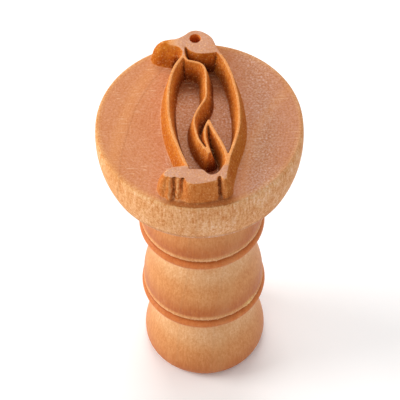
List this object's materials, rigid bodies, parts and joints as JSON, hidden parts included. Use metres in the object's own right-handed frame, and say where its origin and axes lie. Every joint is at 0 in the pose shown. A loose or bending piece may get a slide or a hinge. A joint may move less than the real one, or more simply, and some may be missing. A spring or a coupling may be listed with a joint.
{
  "type": "wooden hand stamp",
  "caption": "Turned wooden hand stamp for pressing a carved bird figure into clay, with a ringed grip glued into a round head.",
  "frame": {"origin": "centre of the flat end of the grip, which the stamp stands on", "axes": "+Z along the turning axis towards the carved face, +Y towards the bird's head, +X to the right of the figure seen from the carved side"},
  "size_m": [0.04, 0.04, 0.0749],
  "materials": {
    "grip_wood": "satin",
    "head_wood": "matt"
  },
  "bodies": {
    "root": {"handle": "grip_wood", "stamp_head": "head_wood"}
  },
  "joints": []
}
